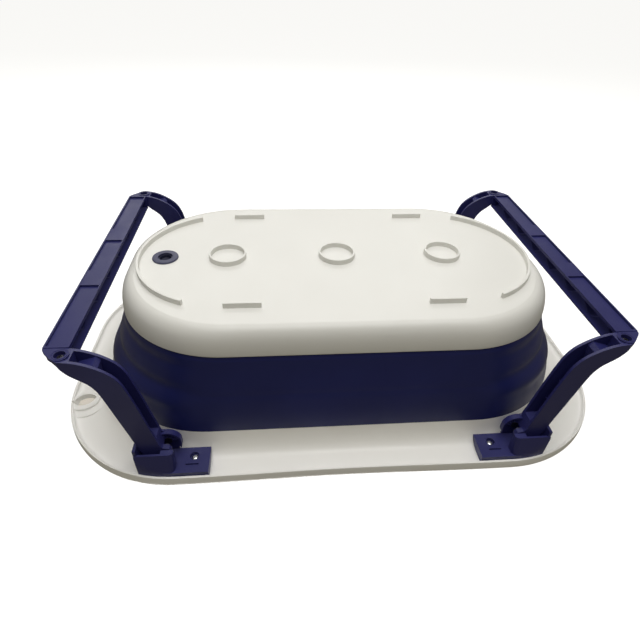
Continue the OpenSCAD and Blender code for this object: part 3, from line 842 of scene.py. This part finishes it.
def make_arm(side, sx, end, sy):
    """S-curved channel with ribs, the cored drum and two eyes at the hinge, and the boss at the tip."""
    hinge = (HINGE_X, HINGE_DEPTH)
    tip = (TIP_X, TIP_Y)
    body = tool_from(slab, curve_through(ARM_INNER, 4) + curve_through(ARM_OUTER, 4), ARM_Y0, ARM_Y1)
    boolean(body, "INTERSECT", [tool_from(plate, ARM_PLAN, 20 * MM, 220 * MM)])
    boolean(body, "DIFFERENCE", [
        tool_from(slab, curve_through(HOLLOW_INNER) + curve_through(HOLLOW_OUTER, 4),
                  ARM_Y0 + ARM_T, ARM_Y1 - ARM_T)])
    rib_y0, rib_y1 = ARM_Y0 + 1 * MM, ARM_Y1 - 1 * MM
    # a sloping floor in the pocket beside the tip, then low ribs deep in the channel
    ramp = mm((286.6, 191.5), (290.6, 196.4), (311, 190), (311, 186), (304, 180), (296, 171), (290, 163))
    ribs = [tool_from(slab, ramp, rib_y0, rib_y1)]
    ribs += [tool_from(slab, mm((x, d + 1), (x + 12, d - 1), (x + 12, d + 1), (x, d + 3)),
                       rib_y0, rib_y1) for x, d in ((265.5, 96), (272, 128))]
    boss = [(0, 193.2 * MM), *mm((5.8, 193.2), (7.2, 194.8), (9.6, 203)),
            (9.6 * MM, FLOOR_DEPTH), (0, FLOOR_DEPTH)]
    drum = tool_from(slab, drum_outline(DRUM_R), ARM_Y0, DRUM_Y)
    boolean(drum, "DIFFERENCE", [
        tool_from(slab, drum_outline(DRUM_CORE_R), DRUM_FLOOR_Y, DRUM_Y + 5 * MM),
        # open towards the plate
        tool_from(box, HINGE_X - DRUM_CORE_R, HINGE_X + DRUM_CORE_R, DRUM_FLOOR_Y, DRUM_Y + 5 * MM,
                  20 * MM, HINGE_DEPTH)])
    boolean(body, "UNION", [
        *ribs,
        tool_from(lathe, boss, tip, 56),
        drum,
        tool_from(slab, disc(*hinge, HUB_R, 40), ARM_Y0 + 1 * MM, HUB_Y),
        *[spoke(angle) for angle in range(-84, 90, 24)],
        tool_from(slab, INNER_WEB, ARM_Y0, ARM_Y0 + ARM_T),
        tool_from(slab, OUTER_WEB, OUTER_EYE_Y, ARM_Y1),
        tool_from(slab, disc(*hinge, OUTER_EYE_R, 48), OUTER_EYE_Y, ARM_Y1),
    ])
    # the boss must not stand proud of the tip's slanted end
    within_tip = [*ARM_PLAN[1:-1], (210 * MM, ARM_Y1), (210 * MM, ARM_Y0)]
    boolean(body, "INTERSECT", [tool_from(plate, within_tip, 0, 230 * MM)])
    tongue_reach = TONGUE_HALF + TONGUE_GAP
    boolean(body, "DIFFERENCE", [
        tool_from(slab, disc(*hinge, EYE_R, 40), ARM_Y0 - 5 * MM, ARM_Y1 + 5 * MM),
        tool_from(box, TIP_X - tongue_reach, TIP_X + tongue_reach, ARM_Y0 - 5 * MM,
                  TONGUE_Y + TONGUE_GAP, 185 * MM, TONGUE_BOTTOM + TONGUE_GAP),
        tool_from(plate, disc(*tip, 2.2 * MM, 32), 190 * MM, 215 * MM),
        tool_from(plate, disc(*tip, 6.2 * MM, 40), TIP_SEAT, FLOOR_DEPTH + 6 * MM),
        ring_groove(tip, 7.7 * MM, 8.4 * MM, FLOOR_DEPTH - 0.5 * MM),
    ])
    bm = to_bmesh(body)
    mirrored(bm, sx, sy)
    finish_piece(f"arm_{side}_{end}_body", bm, NAVY, f"leg_{side}",
                 [f"arm_{side}_{end}"], sharp=35, bevel=0.5 * MM)


def ring_groove(centre, inner, outer, depth):
    """Tool for the round line cut into the boss's end."""
    below = FLOOR_DEPTH + 3 * MM
    profile = [(inner, depth), (outer, depth), (outer, below), (inner, below), (inner, depth)]
    return tool_from(lathe, profile, centre, 56)


def make_crossbar(side, sx):
    """Bar with a shallow tray towards the floor, zigzag ribs inside and a tongue for each arm."""
    x0, x1, d0, d1 = 317.5 * MM, 345.5 * MM, 186 * MM, FLOOR_DEPTH
    wall, tray, reach = 2.8 * MM, 3 * MM, ARM_Y0
    section = [(x0, d0), (x1 - 2.5 * MM, d0), (x1, d0 + 3.5 * MM), (x1, d1), (x0, d1)]
    body = tool_from(slab, section, -reach, reach)
    boolean(body, "DIFFERENCE", [
        tool_from(box, x0 - 5 * MM, x1 - wall, -reach + wall, reach - wall, d0 + 2 * MM, d1 - tray - 1.2 * MM),
        tool_from(box, x0 + 1.6 * MM, x1 - 2 * MM, -reach + 3 * MM, reach - 3 * MM,
                  d1 - tray, d1 + tray),
    ])
    extras = []
    pad_y, pad_half = 60 * MM, 18 * MM
    for s in (-1, 1):
        extras.append(tool_from(box, x0 + 1 * MM, x1 - 1 * MM, s * pad_y - pad_half,
                                s * pad_y + pad_half, d1 - tray - 1 * MM, d1 - 0.3 * MM))
        ends = sorted((s * (reach - 1 * MM), s * TONGUE_Y))
        extras.append(tool_from(box, TIP_X - TONGUE_HALF, TIP_X + TONGUE_HALF, *ends,
                                TONGUE_TOP, TONGUE_BOTTOM))
    # zigzag ribs, seven to each side of the middle
    count, pitch, half = 7, 28.28 * MM, 0.8 * MM
    low, high = d0 + 1 * MM, d1 - tray - 1 * MM
    for i in range(-count, count):
        y0, y1 = i * pitch, (i + 1) * pitch
        start, stop = (low, high) if i % 2 else (high, low)
        rib = [(y0 - half, start), (y0 + half, start), (y1 + half, stop), (y1 - half, stop)]
        extras.append(tool_from(cross_slab, rib, x0 + 6 * MM, x1 - 2 * MM))
    boolean(body, "UNION", extras)
    boolean(body, "DIFFERENCE", [
        tool_from(plate, disc(TIP_X, s * TIP_Y, 2.05 * MM, 32), 190 * MM, 204 * MM) for s in (-1, 1)])
    bm = to_bmesh(body)
    mirrored(bm, sx, 1)
    finish_piece(f"crossbar_{side}_body", bm, NAVY, f"leg_{side}",
                 [f"crossbar_{side}"], sharp=35, bevel=0.6 * MM)


# ---------------------------------------------------------------- everything

add_camera()
add_stage()
make_rim()
make_wall()
make_base()
make_drain()
make_screws()
for side, sx in SIDES:
    make_crossbar(side, sx)
    for end, sy in ENDS:
        make_bracket(side, sx, end, sy)
        make_arm(side, sx, end, sy)
        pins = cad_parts[f"pins_{side}_{end}"]
        pins.data.materials.clear()
        pins.data.materials.append(PIN_STEEL)
